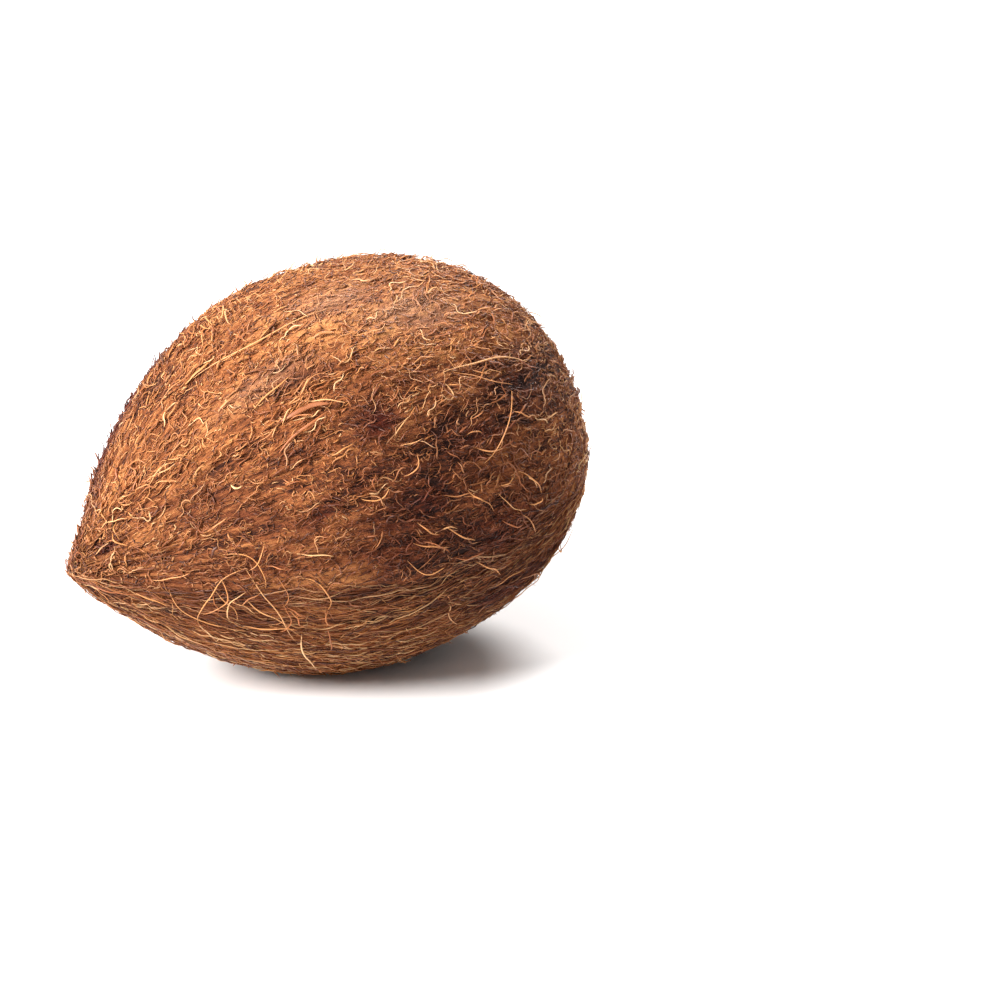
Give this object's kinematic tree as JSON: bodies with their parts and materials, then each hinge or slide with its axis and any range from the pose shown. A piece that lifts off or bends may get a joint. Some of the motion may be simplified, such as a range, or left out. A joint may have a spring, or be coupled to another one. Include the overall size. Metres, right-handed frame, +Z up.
{
  "type": "coconut",
  "caption": "Whole brown dehusked coconut, egg-shaped with a pointed tip and coir-covered shell, lying on its side on a small flat spot.",
  "frame": {"origin": "middle of the small flat spot on the underside that the nut rests on", "axes": "+Z up; the nut's long axis runs along X, with the pointed tip towards -X and the round end with the eyes towards +X"},
  "size_m": [0.1473, 0.1053, 0.1055],
  "materials": {
    "coir": "dry, dull brown coconut fibre"
  },
  "bodies": {
    "root": {"coconut": "coir"}
  },
  "joints": []
}
